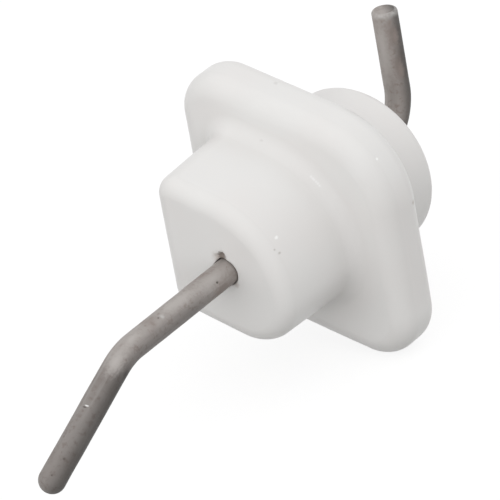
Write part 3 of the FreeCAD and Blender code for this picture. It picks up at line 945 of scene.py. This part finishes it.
def make_glaze():
    """White glaze: a breath of warmth in clouds, thinner on edges, pooled glaze and painted shade in creases,
    marks and painted glints, soft gloss.
    """
    material, tree, output = new_material("glazed_ceramic")
    place = put(tree, "ShaderNodeTexCoord").outputs["Object"]
    cloud = use_group(tree, blotches, Vector=place, Scale=110.0, Detail=1.0, Low=0.35, High=0.7)
    colour = blend_colour(tree, cloud, GLAZE_WHITE, GLAZE_WARM)
    thin = use_group(tree, wear, Vector=place, Edge=attribute_of(tree, "edge"), Scale=150.0, Amount=0.6)
    colour = blend_colour(tree, thin, colour, GLAZE_THIN)
    # Creases are painted darker: pooled glaze, and painted shade where the surface is hollow.
    colour = blend_colour(tree, attribute_of(tree, "crease"), colour, GLAZE_POOLED_SHADE)
    marks = [(nearest(glaze_grid, centre), *rest) for centre, *rest in GLAZE_MARKS_AND_GLINTS]
    colour = mark_over(tree, place, colour, marks)
    dull = use_group(tree, blotches, Vector=place, Scale=200.0, Detail=1.0, Low=0.3, High=0.8)
    rough = put(tree, "ShaderNodeMapRange", Value=dull, To_Min=0.30, To_Max=0.36)
    peel = put(tree, "ShaderNodeTexNoise", Vector=place, Scale=600.0, Detail=1.0)
    bump = put(tree, "ShaderNodeBump", Strength=0.2, Distance=0.00002, Height=peel.outputs[0])
    shader = put(tree, "ShaderNodeBsdfPrincipled", Base_Color=colour, Roughness=rough.outputs[0],
                 Normal=bump.outputs[0], Specular_IOR_Level=0.28)
    tree.links.new(shader.outputs[0], output.inputs["Surface"])
    return material


insulator.data.materials.append(make_glaze())
print("Finish:", insulator.active_material.name, "marks:", len(GLAZE_MARKS_AND_GLINTS))

# %% Oxidised wire
WIRE_GREY = (0.368, 0.336, 0.318, 1)
WIRE_BROWN = (0.275, 0.232, 0.212, 1)
WIRE_STREAK = (0.305, 0.28, 0.265, 1)
# Lighter tone for rubbed blotches, also painted as sheen where light falls along the top of the wire.
WIRE_RUBBED_AND_SHEEN = (0.45, 0.42, 0.40, 1)
WIRE_BARE = (0.50, 0.485, 0.47, 1)
# Nearly black: soot at the hot tip and painted shade on one side of the wire.
WIRE_SOOT_AND_SHADE = (0.035, 0.03, 0.026, 1)
# The pale nick colour is bare metal, painted bright as a glint.
SCALE_DARK, BURNT, NICK_BARE_AND_GLINT = (0.10, 0.085, 0.075, 1), (0.045, 0.038, 0.034, 1), (0.80, 0.79, 0.78, 1)
# The side of the wire that is painted in shade.
SHADED_SIDE = math.radians(-50)
WIRE_MARKS = [
    # place on the straightened wire in millimetres, stretch on each axis, radius, share that is full,
    # colour: nicks with a painted glint, painted sheen along the wire's lit top, rubbed places, scale and
    # burns
    ((0.32, 1.47, 10.10), (0.5, 1, 1.5), 0.14, 0.4, NICK_BARE_AND_GLINT),
    ((0.16, 1.49, 9.86), (0.5, 1, 1.4), 0.13, 0.3, SCALE_DARK),
    ((0.74, 1.30, 23.9), (0.7, 1, 1), 0.30, 0.1, WIRE_BARE),
    ((0.62, 1.37, 23.4), (1, 1, 1), 0.12, 0.3, SCALE_DARK),
    ((1.46, -0.36, 15.4), (1, 0.8, 0.5), 0.45, 0.2, BURNT),
    ((0.69, 1.32, 15.9), (0.7, 0.7, 0.4), 0.80, 0.0, WIRE_RUBBED_AND_SHEEN),
    ((0.55, 1.40, 18.9), (0.7, 0.7, 0.3), 0.48, 0.0, WIRE_RUBBED_AND_SHEEN),
    ((0.40, 1.44, 26.5), (0.7, 0.7, 0.2), 0.50, 0.0, WIRE_RUBBED_AND_SHEEN),
    ((0.95, 1.16, 32.8), (1, 1, 0.4), 1.25, 0.0, WIRE_RUBBED_AND_SHEEN),
    ((1.33, 0.68, 33.0), (1, 1, 0.8), 0.17, 0.3, SCALE_DARK),
    ((0.86, 1.22, 36.6), (1, 1, 1), 0.30, 0.1, WIRE_BROWN),
    ((0.95, 1.16, 3.6), (1, 1, 1), 0.18, 0.1, SCALE_DARK),
    ((0.72, 1.31, 1.4), (1, 1, 1), 0.14, 0.1, SCALE_DARK),
    ((0.13, 1.49, 79.0), (1, 1, 0.2), 1.00, 0.0, WIRE_RUBBED_AND_SHEEN),
    ((0.60, 1.38, 27.5), (1, 1, 0.25), 0.90, 0.0, WIRE_RUBBED_AND_SHEEN),
    ((1.38, 0.58, 80.6), (0.8, 0.8, 0.35), 0.50, 0.0, WIRE_BROWN),
    ((1.38, 0.58, 76.4), (0.8, 0.8, 0.3), 0.50, 0.0, WIRE_BROWN),
    ((1.20, 0.90, 82.3), (1, 1, 0.7), 0.35, 0.0, WIRE_BROWN),
]


def ramp(tree, value, start, end, low=0.0, high=1.0):
    """A soft step from low to high while a value goes from start to end."""
    step = put(tree, "ShaderNodeMapRange", {"interpolation_type": "SMOOTHSTEP"}, Value=value,
               From_Min=start, From_Max=end, To_Min=low, To_Max=high)
    return step.outputs[0]


def soot_and_shade_on(tree, place):
    """How dark the wire is painted: painted shade on its lower right side, strongest on the terminal leg and
    light by the boss, where the white boss lights it, and soot all round at the hot tip.

    The side is a dot product: (x, rise) of the straightened wire with the shaded side's direction.
    """
    toward = (math.cos(SHADED_SIDE) / (WIRE_RADIUS * MM), math.sin(SHADED_SIDE) / (WIRE_RADIUS * MM), 0)
    side = put(tree, "ShaderNodeVectorMath", {"operation": "DOT_PRODUCT"}, _0=place, _1=toward)
    along = put(tree, "ShaderNodeSeparateXYZ", Vector=place).outputs["Z"]
    from_boss = put(tree, "ShaderNodeMath", {"operation": "ABSOLUTE"}, _0=sum_of(tree, along, -40 * MM))
    shade_away_from_boss = ramp(tree, from_boss.outputs[0], 5 * MM, 13 * MM, low=0.15)
    reaches_round = ramp(tree, along, 18 * MM, 14 * MM, low=-0.3, high=-0.8)
    one_side = product_of(tree, ramp(tree, side.outputs["Value"], reaches_round, 1.0), shade_away_from_boss)
    hot_end = ramp(tree, along, 18 * MM, 14 * MM)
    on_terminal = ramp(tree, along, 66 * MM, 74 * MM, low=0.60, high=0.92)
    return sum_of(tree, product_of(tree, one_side, on_terminal), product_of(tree, hot_end, 0.32), clamp=True)


def make_oxide():
    """Dull oxide: soft blotches, soot at the tip and painted shade on one side, drawn streaks that follow the
    wire, an edge rubbed bare, and painted highlights.
    """
    material, tree, output = new_material("oxidised_wire")
    place = put(tree, "ShaderNodeAttribute", {"attribute_name": "on_wire"}).outputs["Vector"]
    cloud = use_group(tree, blotches, Vector=place, Scale=260.0, Detail=5.0, Low=0.42, High=0.75)
    colour = blend_colour(tree, cloud, WIRE_GREY, WIRE_BROWN)
    drawn = put(tree, "ShaderNodeVectorMath", {"operation": "MULTIPLY"}, _0=place, _1=(1, 1, 0.06))
    streak = use_group(tree, blotches, Vector=drawn.outputs[0], Scale=2600.0, Detail=3.0, Low=0.5, High=0.9)
    colour = blend_colour(tree, streak, colour, WIRE_STREAK)
    fleck = use_group(tree, blotches, Vector=place, Scale=1800.0, Detail=4.0, Low=0.50, High=0.72)
    colour = blend_colour(tree, fleck, colour, WIRE_BROWN)
    rubbed = use_group(tree, blotches, Vector=drawn.outputs[0], Scale=1200.0, Detail=5.0, Low=0.5, High=0.8)
    colour = blend_colour(tree, rubbed, colour, WIRE_RUBBED_AND_SHEEN)
    # Painted shade on the wire's lower right side, lighter by the boss, and soot all round the hot tip.
    colour = blend_colour(tree, soot_and_shade_on(tree, place), colour, WIRE_SOOT_AND_SHADE)
    bare = use_group(tree, wear, Vector=place, Edge=attribute_of(tree, "edge"), Scale=1500.0, Amount=0.8)
    colour = blend_colour(tree, bare, colour, WIRE_BARE)
    # The marks include painted sheen along the wire's lit top and a painted glint on the nick.
    marks = [(Vector(centre) * MM, *rest) for centre, *rest in WIRE_MARKS]
    colour = mark_over(tree, place, colour, marks)
    rough = put(tree, "ShaderNodeMapRange", Value=cloud, To_Min=0.5, To_Max=0.62)
    grain = put(tree, "ShaderNodeTexNoise", Vector=place, Scale=2500.0, Detail=3.0)
    height = sum_of(tree, grain.outputs[0], product_of(tree, streak, 0.5))
    bump = put(tree, "ShaderNodeBump", Strength=0.35, Distance=0.00003, Height=height)
    shader = put(tree, "ShaderNodeBsdfPrincipled", Base_Color=colour, Roughness=rough.outputs[0],
                 Normal=bump.outputs[0], Metallic=0.15)
    tree.links.new(shader.outputs[0], output.inputs["Surface"])
    return material


oxide = make_oxide()
wire.data.materials.append(oxide)
ears.data.materials.append(oxide)
print("Finish:", oxide.name, "marks:", len(WIRE_MARKS))

# %% White cement
CEMENT_WHITE = (0.78, 0.76, 0.72, 1)
CEMENT_GREY = (0.62, 0.60, 0.56, 1)


def make_cement_finish():
    """Matt cement: greyer clouds on white, and a coarse grain."""
    material, tree, output = new_material("white_cement")
    place = put(tree, "ShaderNodeTexCoord").outputs["Object"]
    cloud = use_group(tree, blotches, Vector=place, Scale=1500.0, Detail=6.0, Low=0.45, High=0.75)
    colour = blend_colour(tree, cloud, CEMENT_WHITE, CEMENT_GREY)
    grain = put(tree, "ShaderNodeTexNoise", Vector=place, Scale=5000.0, Detail=4.0)
    bump = put(tree, "ShaderNodeBump", Strength=0.7, Distance=0.00008, Height=grain.outputs[0])
    shader = put(tree, "ShaderNodeBsdfPrincipled", Base_Color=colour, Normal=bump.outputs[0], Roughness=0.9)
    tree.links.new(shader.outputs[0], output.inputs["Surface"])
    return material


cement.data.materials.append(make_cement_finish())
print("Finish:", cement.active_material.name)

# %% Print the CAD box
print("CAD box, mm:", [[round(value / MM, 2) for value in corner] for corner in cad_box])
